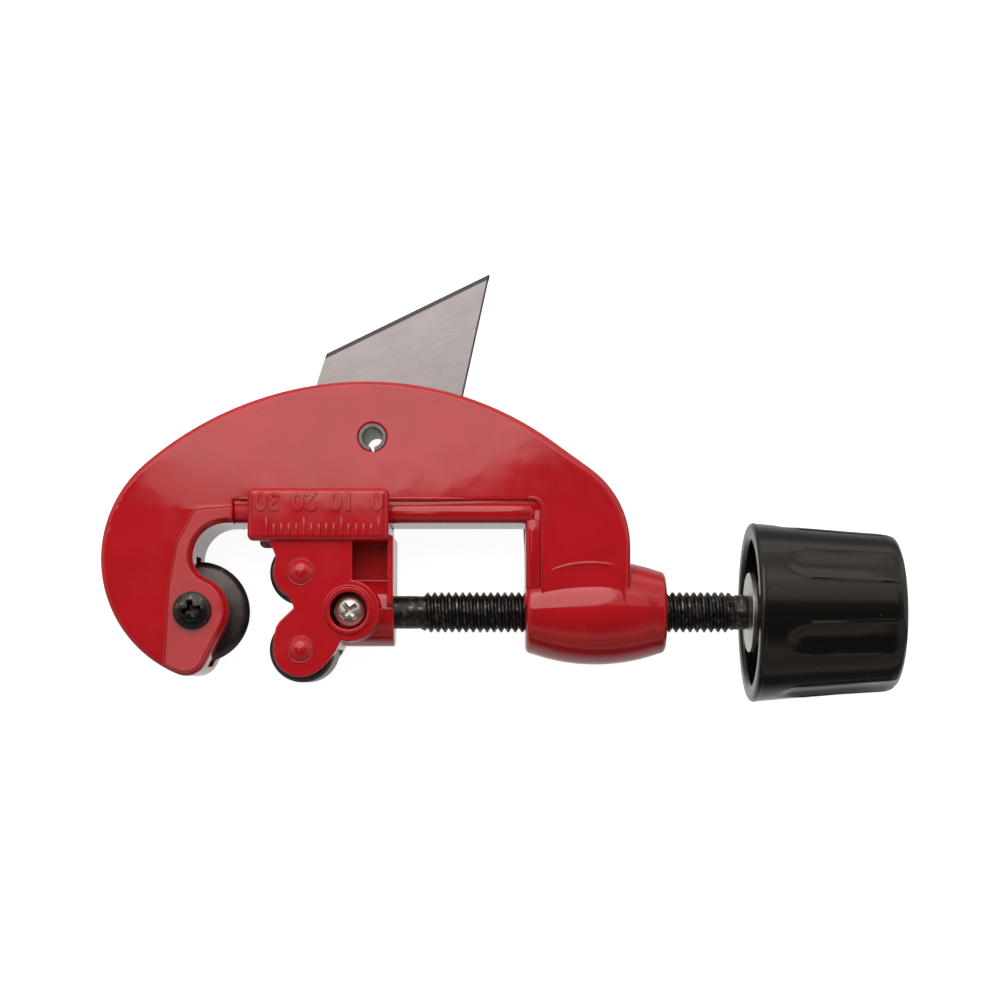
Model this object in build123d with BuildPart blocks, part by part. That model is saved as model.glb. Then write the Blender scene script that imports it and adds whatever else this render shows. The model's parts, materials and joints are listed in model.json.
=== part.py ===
"""A C-frame pipe cutter with a folding reamer, made piece by piece.

Sizes are in millimetres. Sketches are drawn on the tool's middle plane: x runs along the feed spindle
towards the knob, y runs up to the arch, and the cutting wheel's axle is at (0, 0). The finished tool
lies on its side, so the middle plane is horizontal and the knob's rim touches z = 0.
"""

import os
from math import atan2, cos, degrees, hypot, radians, sin, sqrt

from build123d import *

os.makedirs("parts", exist_ok=True)

# Clearances
running_fit = 0.06  # radial, for journals and axles
sliding_fit = 0.10  # between flat guides that slide
seat_gap = 0.02  # between pieces that are fixed to each other
side_play = 0.25  # beside a piece that turns between two cheeks

# Cutting wheel, its axle screw and its nut
wheel_radius = 9.0
wheel_hub_radius = 4.3
wheel_hub_half = 2.5
wheel_disc_half = 1.1
wheel_hub_blend = 0.6
wheel_bevel_start = 0.86  # of the radius
wheel_bevel_half = 0.88
wheel_edge_half = 0.05
axle_radius = 2.35
screw_head_radius = 3.3
screw_head_height = 1.9
nut_across_flats = 8.0
nut_height = 3.2
lock_washer_radius = 3.9
lock_washer_thick = 0.9
lock_washer_cut = 0.6
nut_pocket_depth = 3.2
screw_past_nut = 0.8
screw_tip_chamfer = 0.5
wheel_screw_cross = (0.9, 4.0)  # width and length of its driver recess
wheel_screw_slot = 0.8
pan_rim = 0.45  # height of a pan head's rim, of its whole height
recess_depth = 0.9
small_cross = (0.8, 3.7)

# Frame outline
crown = (30.2, 40.4)
arch_left_radius = 59.3
arch_left_sweep = 41
back_radius = 22.0
arch_right_radius = 55.8
arch_right_sweep = 36
ramp_length = 8.0
shoulder_radius = 16.9
heel_radius = 3.8
heel_slope = 63.4  # degrees from x, the straight edge between the heel and the nose
nose_radius = 6.1
throat_centre = (5.8, 9.4)
throat_radius = 6.0
strut_inner_x = 58.1
edge_round = 1.2

# Frame thicknesses, each from the middle plane
web_half = 8.35
land_rise = 0.4
bead_half = 7.1
rim_half = 6.2
groove_half = 6.1
fork_half = wheel_hub_half + side_play
fork_gap = 0.8  # around the wheel's rim

# Guide rail under the arch
bead_height = 3.1
groove_height = 0.9
rail_start_x = 6.9
rim_width = 2.6
rim_corner = 1.8
bead_round = 0.75
land_edge = [(6.9, 18.2), (0.3, 17.65), (-2.8, 11.8), (-4.2, 4.4), (-4.9, -9.3), (-4.9, -14.0)]

# Nut barrel at the right of the frame
barrel_length = 24.9
barrel_end_radius = 6.95
barrel_radius = 9.3
barrel_round = 1.0
pad_top = [(60.9, 6.3), (68.2, 7.9), (75.2, 7.3)]
pad_rise = 0.3

# Feed spindle
crest_radius = 3.6
root_radius = 2.95
pitch = 1.25
thread_start = 39.1
thread_turns = 45
spindle_end_radius = 2.93
spindle_end_x = 24.9
spindle_end_chamfer = 0.4
thread_form = [(0.12, 0), (0.44, 1), (0.62, 1), (0.94, 0)]  # a turn's profile: share of pitch, share of depth
neck_radius = 3.1
neck_length = 2.1
journal_radius = 2.35
journal_flat = 1.9
retaining_groove_radius = 1.9

# Carriage
block_left = 9.6
block_length = 24.6
block_bottom = 12.1
block_height = 9.2
block_wall = 1.55
block_round = 1.1
core_inset = 3.5  # from the block's left end to the jaws that grip the bead
cheek_half = 9.3
cheek_thick = 2.9
cheek_right = 27.8
cheek_neck = [(13.1, 12.1), (13.9, 10.9), (14.5, 9.4), (14.2, 7.6)]  # from the block to the upper roller
cheek_waist = (17.7, 0.5)  # where the cheek's left edge dips between the two rollers
cheek_shoulder = [(15.2, -1.9), (14.6, -2.9), (14.1, -5.2)]  # from there round the lower roller
cheek_foot = [(22.5, -10.2), (24.9, -7.3), (25.9, -5.2), (27.8, -4.5)]  # from the lower roller to the boss
core_left = 25.1
carriage_right = 34.9
end_wall = 1.0
end_wall_inset = 0.8
rib_half = 3.0
cut_past = 1.0  # how far a cutting shape runs past an open end
socket_radius = 6.1
retaining_x = 27.2
retaining_boss_radius = 5.4
counterbore_radius = 3.3
counterbore_depth = 4.3
rim_ring_radius = 4.2
rim_ring_height = 0.3

# Rollers and their rivets
roller_x = 18.9
roller_offset = 6.75
roller_radius = 5.75
roller_chamfer = 0.5
roller_gap = 0.4  # around each roller
lobe_radius = 4.8
roller_pin_radius = 1.6
rivet_head_radius = 2.3
rivet_head_height = 1.0

# Retaining screw
retaining_head_radius = 2.7
retaining_head_height = 2.0
retaining_shank_radius = 1.5

# Reamer blade, its pin and what centres it
reamer_pivot = (31.2, 30.4)
blade_tip = (51.75, 60.7)
blade_corner = (22.55, 46.3)
blade_left = (20.9, 41.1)
blade_right = (46.6, 37.0)
blade_root_radius = 10.3
blade_root_end_angle = -50
blade_thick = 1.2
blade_face = 1.4  # from the middle plane to the blade's front face
lip_depth = 1.9
lip_thick = 1.1
lip_right_drop = 3.4  # the lip's right end, down from the blade's tip
slot_half = 2.0
slot_left = 19.6
slot_right = 70.0
slot_floor = 19.3
pin_radius = 2.5
pin_bore = 1.7
pin_slit = 0.7
pin_recess = 0.15
spring_washer_thick = 0.4
blade_washer_radius = 4.6

# Knob, and what its mouth holds
knob_start = 98.1
knob_length = 25.9
knob_mouth_radius = 16.0
knob_waist = 9.0  # from the mouth to where the taper eases
knob_waist_radius = 15.2
knob_end_radius = 14.0
knob_wall = 3.1
knob_pocket_depth = 5.9
knob_cavity_radius = 11.6
knob_hub_radius = 6.0
knob_end_wall = 4.0
knob_round = 0.8
knob_end_round = 1.6
flutes = 7
flute_start = 4.2
flute_width = 5.9
flute_depth = 0.6
flute_turn = 6.5  # degrees from the tool's y to the first flute
spring_disc_radius = 7.1
spring_disc_thick = 0.9
spring_disc_dish = 0.5
knob_recess_radius = 4.7
knob_recess_depth = 2.5
knob_washer_radius = 4.2
knob_washer_thick = 0.5
knob_screw_radius = 1.5
knob_screw_length = 10.0
knob_screw_head_radius = 2.9
knob_screw_head_height = 1.7

# Places that follow from the sizes above
land_half = web_half + land_rise
rail_y = throat_centre[1] + throat_radius
bead_top = rail_y + bead_height
web_bottom = bead_top + groove_height
rim_right = strut_inner_x + rim_width
thread_end = thread_start + pitch * thread_turns
shoulder_x = thread_end + neck_length
barrel_end = strut_inner_x + barrel_length
block_top = block_bottom + block_height
jaw_left = block_left + core_inset
plate_inner = land_half + 0.2
block_half = plate_inner + block_wall
bay_half = cheek_half - cheek_thick
roller_half = bay_half - side_play
knob_end = knob_start + knob_length
hub_face = shoulder_x + spring_disc_thick + spring_disc_dish + 2 * wheel_hub_half + 3 * seat_gap
recess_floor = knob_end - knob_recess_depth
back_offset = arch_left_radius - back_radius
back_centre = (
    crown[0] - back_offset * sin(radians(arch_left_sweep)),
    crown[1] - arch_left_radius + back_offset * cos(radians(arch_left_sweep)),
)

# The tool lies on its side: its box is centred in x and y, and the knob's rim touches z = 0
middle_x = (back_centre[0] - back_radius + knob_end) / 2
middle_y = (blade_tip[1] - knob_mouth_radius) / 2
side = Plane(origin=(-middle_x, -middle_y, knob_mouth_radius))
spindle_axis = Axis(side.origin, side.x_dir)


def across(x):
    """The plane across the spindle at x, with its own x along the tool's y, and its y along z."""
    return Plane(origin=side.origin + Vector(x, 0, 0), x_dir=(0, 1, 0), z_dir=(1, 0, 0))


def axle(x, y):
    """The axis through (x, y), square to the middle plane."""
    return Axis(side.origin + Vector(x, y, 0), side.z_dir)


def circle_meets_line(centre, radius, start, angle):
    """Where the line that runs back from start at this angle crosses the circle."""
    along = (cos(radians(angle)), sin(radians(angle)))
    to_start = (start[0] - centre[0], start[1] - centre[1])
    half = to_start[0] * along[0] + to_start[1] * along[1]
    square = hypot(*to_start) ** 2 - radius**2
    step = -half - sqrt(half**2 - square)
    return (start[0] + step * along[0], start[1] + step * along[1])


def finish(part, label):
    """Names the piece and writes it."""
    part.label = label
    export_step(part, f"parts/{label}.step")


# ---------------------------------------------------------------- frame
# The blend between nose and throat touches both of their circles.
throat_left = throat_centre[0] - throat_radius
blend_radius = (throat_centre[1] ** 2 + throat_left**2 - nose_radius**2) / (2 * (nose_radius - throat_left))
blend_centre = (throat_left + blend_radius, throat_centre[1])
blend_angle = degrees(atan2(blend_centre[1], blend_centre[0]))
nose_start = heel_slope - 90
nose_tangent = (nose_radius * cos(radians(nose_start)), nose_radius * sin(radians(nose_start)))
heel_corner = circle_meets_line(back_centre, back_radius, nose_tangent, heel_slope)
heel_angle = degrees(atan2(heel_corner[1] - back_centre[1], heel_corner[0] - back_centre[0])) % 360

with BuildSketch(side) as outline:
    with BuildLine():
        arch_right = JernArc(crown, (1, 0), arch_right_radius, -arch_right_sweep)
        ramp = PolarLine(arch_right @ 1, ramp_length, direction=arch_right % 1)
        shoulder = JernArc(ramp @ 1, ramp % 1, shoulder_radius, arch_right_sweep - 90)
        right_x = (shoulder @ 1).X
        Line(shoulder @ 1, (right_x, 0))
        Line((right_x, 0), (strut_inner_x, 0))
        Line((strut_inner_x, 0), (strut_inner_x, rail_y))
        Line((strut_inner_x, rail_y), (throat_centre[0], rail_y))
        CenterArc(throat_centre, throat_radius, 90, 90)
        CenterArc(blend_centre, blend_radius, 180, blend_angle)
        CenterArc((0, 0), nose_radius, blend_angle, nose_start - blend_angle)
        Line(nose_tangent, heel_corner)
        back_start = 90 + arch_left_sweep
        CenterArc(back_centre, back_radius, heel_angle, back_start - heel_angle)
        CenterArc((crown[0], crown[1] - arch_left_radius), arch_left_radius, back_start, -arch_left_sweep)
    make_face()
    heel = outline.vertices().sort_by(Axis.Y)[0]
    fillet(heel, heel_radius)

with BuildPart() as frame:
    add(outline.sketch)
    extrude(amount=web_half, both=True)
    flats = frame.faces().filter_by(Axis.Z)
    fillet([edge for face in flats for edge in face.edges()], edge_round)
    # the raised land around the throat and the wheel's screw
    with BuildSketch(side):
        with BuildLine():
            Polyline(*land_edge, (rail_start_x, land_edge[-1][1]), close=True)
        make_face()
        add(offset(outline.sketch_local, -edge_round / 2, mode=Mode.PRIVATE), mode=Mode.INTERSECT)
    extrude(amount=land_half, both=True)
    # the guide rail stands back from both faces, and its rim down the strut stands back further
    for sign in (1, -1):
        with BuildSketch(side.offset(sign * bead_half)):
            with Locations((rail_start_x, web_bottom)):
                rim = Rectangle(rim_right - rail_start_x, web_bottom, align=(Align.MIN, Align.MAX))
            fillet(rim.vertices().sort_by(Axis.X)[-2:].sort_by(Axis.Y)[-1], rim_corner)
        extrude(amount=sign * web_half, mode=Mode.SUBTRACT)
        with BuildSketch(side.offset(sign * groove_half)):
            with Locations((rail_start_x, bead_top)):
                Rectangle(strut_inner_x - rail_start_x, groove_height, align=Align.MIN)
        extrude(amount=sign * (bead_half - groove_half), mode=Mode.SUBTRACT)
    bead_edges = [
        edge
        for edge in frame.edges().filter_by(Axis.X)
        if abs(abs((edge @ 0.5).Z - side.origin.Z) - bead_half) < seat_gap
        and (edge @ 0.5).Y < side.origin.Y + bead_top + seat_gap
        and edge.length > barrel_length
    ]
    fillet(bead_edges, bead_round)
    for sign in (1, -1):
        with BuildSketch(side.offset(sign * rim_half)):
            with Locations((strut_inner_x, rail_y)):
                Rectangle(rim_width, rail_y, align=(Align.MIN, Align.MAX))
        extrude(amount=sign * web_half, mode=Mode.SUBTRACT)
    # a low pad where the strut runs into the nut barrel
    with BuildSketch(side):
        with BuildLine():
            ThreePointArc(*pad_top)
            Polyline(pad_top[-1], (pad_top[-1][0], 0), (pad_top[0][0], 0), pad_top[0])
        make_face()
    extrude(amount=web_half + pad_rise, both=True)
    # the nut barrel
    with BuildSketch(side):
        with BuildLine():
            ThreePointArc(
                (strut_inner_x, barrel_end_radius),
                (strut_inner_x + barrel_length / 2, barrel_radius),
                (barrel_end, barrel_end_radius),
            )
            Polyline(
                (barrel_end, barrel_end_radius), (barrel_end, 0),
                (strut_inner_x, 0), (strut_inner_x, barrel_end_radius),
            )
        make_face()
        fillet(vertices().group_by(Axis.Y)[-1], barrel_round)
    revolve(axis=spindle_axis)
    with BuildSketch(across(strut_inner_x)):
        Circle(crest_radius + running_fit)
    extrude(amount=barrel_length, mode=Mode.SUBTRACT)
    # the fork for the cutting wheel, and the slot for the folded reamer
    with BuildSketch(side):
        Circle(wheel_radius + fork_gap)
    extrude(amount=fork_half, both=True, mode=Mode.SUBTRACT)
    with BuildSketch(side):
        with Locations((slot_left, slot_floor)):
            Rectangle(slot_right - slot_left, crown[1], align=Align.MIN)
    extrude(amount=slot_half, both=True, mode=Mode.SUBTRACT)
    # holes for the wheel's screw and the reamer's pin, and the pocket for the nut
    with BuildSketch(side):
        Circle(axle_radius + seat_gap)
        with Locations(reamer_pivot):
            Circle(pin_radius + seat_gap)
    extrude(amount=land_half, both=True, mode=Mode.SUBTRACT)
    with BuildSketch(side.offset(-land_half)):
        RegularPolygon(nut_across_flats / 2 + sliding_fit, 6, major_radius=False, rotation=30)
    extrude(amount=nut_pocket_depth, mode=Mode.SUBTRACT)
finish(frame.part, "frame")

# ---------------------------------------------------------------- cutting wheels
def wheel_section(plane):
    """Half of a cutting wheel's section: x is along its axle, y is its radius."""
    bore = axle_radius + running_fit
    half = [
        (wheel_hub_half, bore),
        (wheel_hub_half, wheel_hub_radius),
        (wheel_disc_half, wheel_hub_radius + wheel_hub_blend),
        (wheel_bevel_half, wheel_radius * wheel_bevel_start),
        (wheel_edge_half, wheel_radius),
    ]
    with BuildSketch(plane) as section:
        with BuildLine():
            Polyline(*half, *[(-x, y) for x, y in reversed(half)], close=True)
        make_face()
    return section.sketch


with BuildPart() as cutting_wheel:
    revolve(wheel_section(Plane(origin=side.origin, x_dir=side.z_dir, z_dir=side.x_dir)), axis=axle(0, 0))
finish(cutting_wheel.part, "cutting_wheel")

spare_wheel_x = hub_face - seat_gap - wheel_hub_half
with BuildPart() as spare_wheel:
    section_plane = Plane(origin=side.origin + Vector(spare_wheel_x, 0, 0))
    revolve(wheel_section(section_plane), axis=spindle_axis)
finish(spare_wheel.part, "spare_wheel")

# ---------------------------------------------------------------- wheel screw and nut
nut_floor = land_half - nut_pocket_depth  # from the middle plane, on the back
nut_face = nut_floor + lock_washer_thick + 2 * seat_gap
nut_end = nut_face + nut_height
screw_tip = nut_end + screw_past_nut


def dome_point(radius, rim, top):
    """A point half way out on a dome that rises from its rim to its top, centred on its axis."""
    rise = top - rim
    sphere = (radius**2 + rise**2) / (2 * rise)
    return (radius / 2, top - sphere + sqrt(sphere**2 - radius**2 / 4))


def pan_head(plane, radius, height):
    """A pan head's half section: x is its radius, y its height over its seat."""
    with BuildSketch(plane) as section:
        with BuildLine():
            rim = height * pan_rim
            Polyline((0, height), (0, 0), (radius, 0), (radius, rim))
            ThreePointArc((radius, rim), dome_point(radius, rim, height), (0, height))
        make_face()
    return section.sketch


def cross_recess(plane, width, length):
    """The outline of a cross-shaped driver recess."""
    with BuildSketch(plane) as cross:
        Rectangle(width, length)
        Rectangle(length, width)
    return cross.sketch


def radial_plane(x, y, height, up=1):
    """A plane through the axle at (x, y): its x is radial, its y points away from the middle plane."""
    origin = side.origin + Vector(x, y, up * height)
    return Plane(origin=origin, x_dir=side.x_dir, z_dir=(0, -up, 0))


with BuildPart() as wheel_screw:
    head_seat = land_half + seat_gap
    revolve(pan_head(radial_plane(0, 0, head_seat), screw_head_radius, screw_head_height), axis=axle(0, 0))
    with BuildSketch(side.offset(head_seat)):
        Circle(axle_radius)
    extrude(amount=-(head_seat + screw_tip))
    chamfer(wheel_screw.edges().group_by(Axis.Z)[0], screw_tip_chamfer)
    head_top = side.offset(head_seat + screw_head_height)
    extrude(cross_recess(head_top, *wheel_screw_cross), amount=-recess_depth, mode=Mode.SUBTRACT)
    with BuildSketch(head_top):
        Rectangle(2 * screw_head_radius, wheel_screw_slot)
    extrude(amount=-wheel_screw_slot, mode=Mode.SUBTRACT)
finish(wheel_screw.part, "wheel_screw")

with BuildPart() as wheel_nut:
    with BuildSketch(side.offset(-nut_end)):
        RegularPolygon(nut_across_flats / 2, 6, major_radius=False, rotation=30)
        Circle(axle_radius + seat_gap, mode=Mode.SUBTRACT)
    extrude(amount=nut_height)
finish(wheel_nut.part, "wheel_nut")

with BuildPart() as wheel_lock_washer:
    with BuildSketch(side.offset(-nut_floor - seat_gap)):
        Circle(lock_washer_radius)
        Circle(axle_radius + seat_gap, mode=Mode.SUBTRACT)
        with Locations((lock_washer_radius, 0)):
            Rectangle(lock_washer_radius, lock_washer_cut, mode=Mode.SUBTRACT)
    extrude(amount=-lock_washer_thick)
finish(wheel_lock_washer.part, "wheel_lock_washer")

# ---------------------------------------------------------------- reamer
blade_back = blade_face - blade_thick
lip_angle = degrees(atan2(blade_tip[1] - blade_corner[1], blade_tip[0] - blade_corner[0]))
lip_normal = (sin(radians(lip_angle)), -cos(radians(lip_angle)))

with BuildPart() as reamer_blade:
    with BuildSketch(side.offset(blade_back)):
        with BuildLine():
            root_end = (
                reamer_pivot[0] + blade_root_radius * cos(radians(blade_root_end_angle)),
                reamer_pivot[1] + blade_root_radius * sin(radians(blade_root_end_angle)),
            )
            root_start = (reamer_pivot[0] - blade_root_radius, reamer_pivot[1])
            Polyline(root_end, blade_right, blade_tip, blade_corner, blade_left, root_start)
            CenterArc(reamer_pivot, blade_root_radius, 180, 180 + blade_root_end_angle)
        make_face()
        with Locations(reamer_pivot):
            Circle(pin_radius + running_fit, mode=Mode.SUBTRACT)
    extrude(amount=blade_thick)
    # the lip is folded back along the long upper edge
    with BuildSketch(side.offset(blade_back)):
        with BuildLine():
            Polyline(
                blade_corner,
                blade_tip,
                (blade_tip[0] - lip_thick, blade_tip[1] - lip_right_drop),
                (blade_corner[0] + lip_thick * lip_normal[0], blade_corner[1] + lip_thick * lip_normal[1]),
                close=True,
            )
        make_face()
    extrude(amount=-(blade_back + lip_depth))
finish(reamer_blade.part, "reamer_blade")

with BuildPart() as reamer_pin:
    with BuildSketch(side):
        with Locations(reamer_pivot):
            Circle(pin_radius)
            Circle(pin_bore, mode=Mode.SUBTRACT)
        with Locations((reamer_pivot[0], reamer_pivot[1] - pin_radius)):
            Rectangle(pin_slit, pin_radius, mode=Mode.SUBTRACT)
    extrude(amount=web_half - pin_recess, both=True)
finish(reamer_pin.part, "reamer_pin")


pivot_rings = {
    "reamer_spring_washer": (blade_face + seat_gap, blade_face + seat_gap + spring_washer_thick),
    "reamer_spacer": (seat_gap - slot_half, blade_back - seat_gap),
}
for name, (low, high) in pivot_rings.items():
    with BuildPart() as ring:
        with BuildSketch(side.offset(low)):
            with Locations(reamer_pivot):
                Circle(blade_washer_radius)
                Circle(pin_radius + running_fit, mode=Mode.SUBTRACT)
        extrude(amount=high - low)
    finish(ring.part, name)

# ---------------------------------------------------------------- carriage
rollers = [(roller_x, roller_offset), (roller_x, -roller_offset)]

with BuildPart() as block:
    with BuildSketch(side):
        with Locations((block_left, block_bottom)):
            Rectangle(block_length, block_height, align=Align.MIN)
    extrude(amount=block_half, both=True)
    fillet(block.edges(), block_round)

with BuildPart() as carriage:
    # the two cheeks, one block until the roller bay is cut out
    with BuildSketch(side):
        with BuildLine():
            Polyline(*cheek_neck, cheek_waist, *cheek_shoulder, (roller_x, -roller_offset), *cheek_foot,
                     (cheek_right, block_bottom), close=True)
        make_face()
        with Locations(*rollers):
            Circle(lobe_radius)
        with Locations((retaining_x, 0)):
            Circle(retaining_boss_radius)
    extrude(amount=cheek_half, both=True)
    # the block that carries the scale plates, and the end wall, rib and spindle socket
    add(block.part)
    with BuildSketch(side):
        with Locations((carriage_right, block_bottom + block_round)):
            Rectangle(end_wall, block_bottom, align=Align.MAX)
    extrude(amount=cheek_half - end_wall_inset, both=True)
    with BuildSketch(side):
        with Locations((carriage_right, block_bottom + block_round)):
            Rectangle(carriage_right - core_left, block_bottom, align=Align.MAX)
    extrude(amount=rib_half, both=True)
    with BuildSketch(across(core_left)):
        Circle(socket_radius)
    extrude(amount=carriage_right - core_left)
    # the raised ring around the retaining screw
    for sign in (1, -1):
        with BuildSketch(side.offset(sign * cheek_half)):
            with Locations((retaining_x, 0)):
                Circle(rim_ring_radius)
        extrude(amount=sign * rim_ring_height)
    # the roller bay
    with BuildSketch(side):
        with Locations((core_left, block_bottom)):
            Rectangle(core_left - block_left, 2 * block_height + block_bottom, align=Align.MAX)
        with Locations(*rollers):
            Circle(roller_radius + roller_gap)
    extrude(amount=bay_half, both=True, mode=Mode.SUBTRACT)
    # the passage for the arch, the jaws that hook over the bead, and the channel for the bead
    start = block_left - cut_past
    end = carriage_right + cut_past
    passage = [
        (start, block_bottom, jaw_left, block_top, plate_inner),
        (start, web_bottom - sliding_fit, end, block_top, plate_inner),
        (start, bead_top, end, web_bottom, groove_half + sliding_fit),
        (start, rail_y - sliding_fit, end, bead_top + sliding_fit, bead_half + sliding_fit),
    ]
    for left, bottom, right, top, half in passage:
        with BuildSketch(side):
            with Locations((left, bottom)):
                Rectangle(right - left, top - bottom, align=Align.MIN)
        extrude(amount=half, both=True, mode=Mode.SUBTRACT)
    # the spindle's bore, the rivets' holes and the retaining screw's seat
    with BuildSketch(across(core_left - cut_past)):
        Circle(spindle_end_radius + running_fit)
    extrude(amount=carriage_right, mode=Mode.SUBTRACT)
    with BuildSketch(side):
        with Locations(*rollers):
            Circle(roller_pin_radius + seat_gap)
    extrude(amount=cheek_half, both=True, mode=Mode.SUBTRACT)
    with BuildSketch(side.offset(cheek_half + rim_ring_height)):
        with Locations((retaining_x, 0)):
            Circle(counterbore_radius)
    extrude(amount=-counterbore_depth, mode=Mode.SUBTRACT)
    with BuildSketch(side.offset(cheek_half)):
        with Locations((retaining_x, 0)):
            Circle(retaining_shank_radius + seat_gap)
    extrude(amount=-cheek_half, mode=Mode.SUBTRACT)
finish(carriage.part, "carriage")

for name, (x, y) in zip(("upper_roller", "lower_roller"), rollers):
    with BuildPart() as roller:
        with BuildSketch(side):
            with Locations((x, y)):
                Circle(roller_radius)
                Circle(roller_pin_radius + running_fit, mode=Mode.SUBTRACT)
        extrude(amount=roller_half, both=True)
        chamfer(roller.edges().filter_by(GeomType.CIRCLE).sort_by(SortBy.RADIUS)[-2:], roller_chamfer)
    finish(roller.part, name)

    with BuildPart() as rivet:
        with BuildSketch(side):
            with Locations((x, y)):
                Circle(roller_pin_radius)
        extrude(amount=cheek_half + seat_gap, both=True)
        for sign in (1, -1):
            with BuildSketch(radial_plane(x, y, cheek_half + seat_gap, sign)):
                with BuildLine():
                    Polyline((0, rivet_head_height), (0, 0), (rivet_head_radius, 0))
                    dome_middle = dome_point(rivet_head_radius, 0, rivet_head_height)
                    ThreePointArc((rivet_head_radius, 0), dome_middle, (0, rivet_head_height))
                make_face()
            revolve(axis=axle(x, y))
    finish(rivet.part, name + "_pin")

with BuildPart() as retaining_screw:
    seat = cheek_half + rim_ring_height - counterbore_depth + seat_gap
    revolve(
        pan_head(radial_plane(retaining_x, 0, seat), retaining_head_radius, retaining_head_height),
        axis=axle(retaining_x, 0),
    )
    with BuildSketch(side.offset(seat)):
        with Locations((retaining_x, 0)):
            Circle(retaining_shank_radius)
    extrude(amount=-(seat - retaining_groove_radius - sliding_fit))
    head_centre = side.origin + Vector(retaining_x, 0, seat + retaining_head_height)
    turned = Plane(origin=head_centre, x_dir=(1, 1, 0), z_dir=(0, 0, 1))
    extrude(cross_recess(turned, *small_cross), amount=-recess_depth, mode=Mode.SUBTRACT)
finish(retaining_screw.part, "retaining_screw")

# ---------------------------------------------------------------- feed spindle
journal_end = recess_floor - sliding_fit
with BuildPart() as spindle:
    with BuildSketch(side):
        with BuildLine():
            tooth = [(thread_start, root_radius)]
            depth = crest_radius - root_radius
            for turn in range(thread_turns):
                x = thread_start + turn * pitch
                tooth += [(x + pitch * along, root_radius + depth * out) for along, out in thread_form]
            groove = retaining_shank_radius + sliding_fit
            Polyline(
                (spindle_end_x, 0), (spindle_end_x, spindle_end_radius - spindle_end_chamfer),
                (spindle_end_x + spindle_end_chamfer, spindle_end_radius),
                (retaining_x - groove, spindle_end_radius),
                (retaining_x - groove, retaining_groove_radius),
                (retaining_x + groove, retaining_groove_radius),
                (retaining_x + groove, spindle_end_radius), (thread_start, spindle_end_radius), *tooth,
                (thread_end, neck_radius), (shoulder_x, neck_radius), (shoulder_x, journal_radius),
                (journal_end, journal_radius), (journal_end, 0), close=True,
            )
        make_face()
    revolve(axis=spindle_axis)
    # two flats drive the knob
    for sign in (1, -1):
        with BuildSketch(side.offset(sign * journal_flat)):
            with Locations((hub_face, 0)):
                Rectangle(journal_end - hub_face, 2 * journal_radius, align=(Align.MIN, Align.CENTER))
        extrude(amount=sign * journal_radius, mode=Mode.SUBTRACT)
    with BuildSketch(across(journal_end)):
        Circle(knob_screw_radius + seat_gap)
    extrude(amount=-(knob_screw_length + cut_past), mode=Mode.SUBTRACT)
finish(spindle.part, "spindle")

# ---------------------------------------------------------------- knob
cavity_end = knob_end - knob_end_wall
with BuildPart() as knob:
    with BuildSketch(side):
        with BuildLine():
            mouth_inner = knob_mouth_radius - knob_wall
            side_curve = ThreePointArc(
                (knob_start, knob_mouth_radius),
                (knob_start + knob_waist, knob_waist_radius),
                (knob_end, knob_end_radius),
            )
            Polyline(
                side_curve @ 1, (knob_end, knob_recess_radius), (recess_floor, knob_recess_radius),
                (recess_floor, journal_radius + seat_gap), (hub_face, journal_radius + seat_gap),
                (hub_face, knob_hub_radius), (cavity_end, knob_hub_radius), (cavity_end, knob_cavity_radius),
                (knob_start + knob_pocket_depth, knob_cavity_radius),
                (knob_start + knob_pocket_depth, mouth_inner), (knob_start, mouth_inner),
                side_curve @ 0,
            )
        make_face()
        for x, y, size in (
            (knob_start, knob_mouth_radius, knob_round),
            (knob_start, mouth_inner, knob_round),
            (knob_end, knob_end_radius, knob_end_round),
        ):
            fillet([v for v in vertices() if hypot(v.X - x, v.Y - y) < seat_gap], size)
    revolve(axis=spindle_axis)
    # each flute is cut by a rod with a ball end that follows the taper
    rod_radius = (flute_width**2 / 4 + flute_depth**2) / (2 * flute_depth)
    ball_x = knob_start + flute_start + flute_width / 2
    taper = (knob_waist_radius - knob_end_radius) / (knob_length - knob_waist)
    reach = knob_end + cut_past - ball_x
    rod_start = (ball_x, knob_waist_radius + rod_radius - flute_depth)
    rod_end = (ball_x + reach, rod_start[1] - taper * reach)
    for flute in range(flutes):
        turned = side.rotated((360 / flutes * flute + flute_turn, 0, 0))
        with BuildSketch(turned):
            with BuildLine():
                rod_line = Line(rod_start, rod_end)
                away = (rod_line % 1).rotate(Axis.Z, -90)
                Line(rod_end, rod_line @ 1 + away * rod_radius)
                Line(rod_line @ 1 + away * rod_radius, rod_line @ 0 + away * rod_radius)
                CenterArc(rod_start, rod_radius, degrees(atan2(away.Y, away.X)) % 360, -90)
                Line(rod_line @ 0, rod_line @ 0 - (rod_line % 0) * rod_radius)
            make_face()
        rod_from = turned.from_local_coords(Vector(*rod_start))
        rod_to = turned.from_local_coords(Vector(*rod_end))
        revolve(axis=Axis(rod_from, rod_to - rod_from), mode=Mode.SUBTRACT)
    # the hub's bore has flats that match the spindle's
    for sign in (1, -1):
        with BuildSketch(side.offset(sign * (journal_flat + seat_gap))):
            with Locations((hub_face, 0)):
                Rectangle(recess_floor - hub_face, 2 * journal_radius, align=(Align.MIN, Align.CENTER))
        extrude(amount=sign * (journal_radius - journal_flat + sliding_fit))
finish(knob.part, "knob")

with BuildPart() as spring_disc:
    with BuildSketch(side):
        with BuildLine():
            x = shoulder_x + seat_gap
            bore = journal_radius + seat_gap
            Polyline(
                (x, bore), (x + spring_disc_dish, spring_disc_radius),
                (x + spring_disc_dish + spring_disc_thick, spring_disc_radius),
                (x + spring_disc_thick, bore), close=True,
            )
        make_face()
    revolve(axis=spindle_axis)
finish(spring_disc.part, "spring_disc")

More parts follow.
